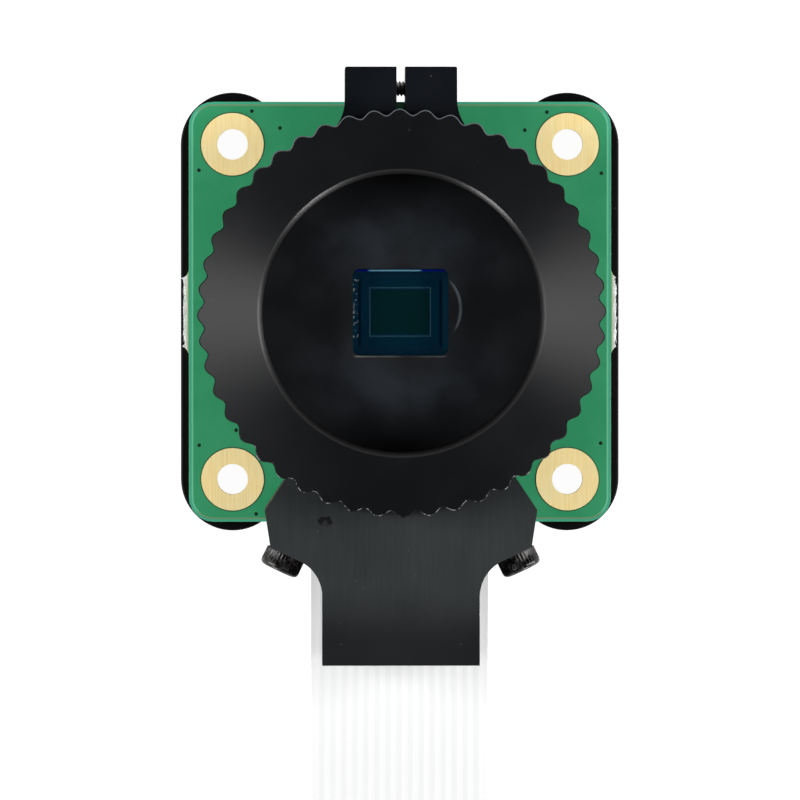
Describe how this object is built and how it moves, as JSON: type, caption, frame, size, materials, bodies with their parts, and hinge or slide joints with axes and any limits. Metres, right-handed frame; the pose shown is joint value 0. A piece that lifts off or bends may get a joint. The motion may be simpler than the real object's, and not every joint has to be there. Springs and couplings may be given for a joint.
{
  "type": "camera module",
  "caption": "Board-level camera module with a scalloped back-focus ring, a C/CS lens thread, a tripod foot and a flat ribbon cable.",
  "frame": {"origin": "on the optical axis, at the rear face of the rear cover, which the module lies on", "axes": "+Z out of the lens thread, +Y towards the clamp lugs, -Y towards the tripod foot and the ribbon, +X to the right seen from the lens side"},
  "size_m": [0.0392, 0.1859, 0.0198],
  "materials": {
    "solder_mask": "green solder mask on fibreglass",
    "gold_plating": "brushed gold plating",
    "sensor_ceramic": "matt black ceramic",
    "silicon": "polished silicon",
    "clear_glass": "clear",
    "filter_glass": "blue infrared-cut coating",
    "gasket_rubber": "matt foam rubber",
    "black_anodised": "black anodised, turned",
    "dark_anodised": "dark grey anodised, brushed",
    "cover_anodised": "black anodised, fine matt",
    "dried_adhesive": "clear to whitish glue",
    "black_steel": "black oxide",
    "bright_steel": "zinc plated",
    "connector_plastic": "cream moulding",
    "latch_plastic": "brown moulding",
    "tinned_contact": "tin plated",
    "ribbon_film": "white polyester film",
    "stiffener_film": "pale blue polyester film",
    "chip_plastic": "matt black epoxy",
    "oscillator_can": "nickel plated can",
    "chip_ceramic": "tan ceramic",
    "inductor_ferrite": "grey ferrite"
  },
  "bodies": {
    "module": {"circuit_board": "solder_mask", "hole_pads": "gold_plating", "image_sensor": "sensor_ceramic", "sensor_die": "silicon", "sensor_lid": "clear_glass", "housing_gasket": "gasket_rubber", "lens_housing": "black_anodised", "ir_cut_filter": "filter_glass", "filter_adhesive": "dried_adhesive", "lock_screw": "black_steel", "tripod_mount": "dark_anodised", "tripod_mount_screws": "black_steel", "rear_cover": "cover_anodised", "housing_screws": "black_steel", "screw_washers": "bright_steel", "ribbon_connector": "connector_plastic", "connector_contacts": "tinned_contact", "connector_hold_downs": "bright_steel", "ribbon_cable": "ribbon_film", "ribbon_stiffeners": "stiffener_film", "ribbon_contacts": "tinned_contact", "voltage_regulators": "chip_plastic", "clock_oscillator": "oscillator_can", "logic_chip": "chip_plastic", "chip_capacitors": "chip_ceramic", "chip_resistors": "chip_plastic", "chip_inductors": "inductor_ferrite"},
    "focus_ring": {"back_focus_ring": "black_anodised"},
    "latch": {"connector_latch": "latch_plastic"}
  },
  "joints": [
    {"name": "back_focus_turn", "type": "hinge", "parent": "module", "child": "focus_ring", "pos_m": [0, 0, 0.0172], "axis": [0, 0, 1], "range_deg": [-360, 720]},
    {"name": "latch_pull", "type": "slide", "parent": "module", "child": "latch", "axis": [0, -1, 0], "range_m": [0, 0.001]}
  ]
}
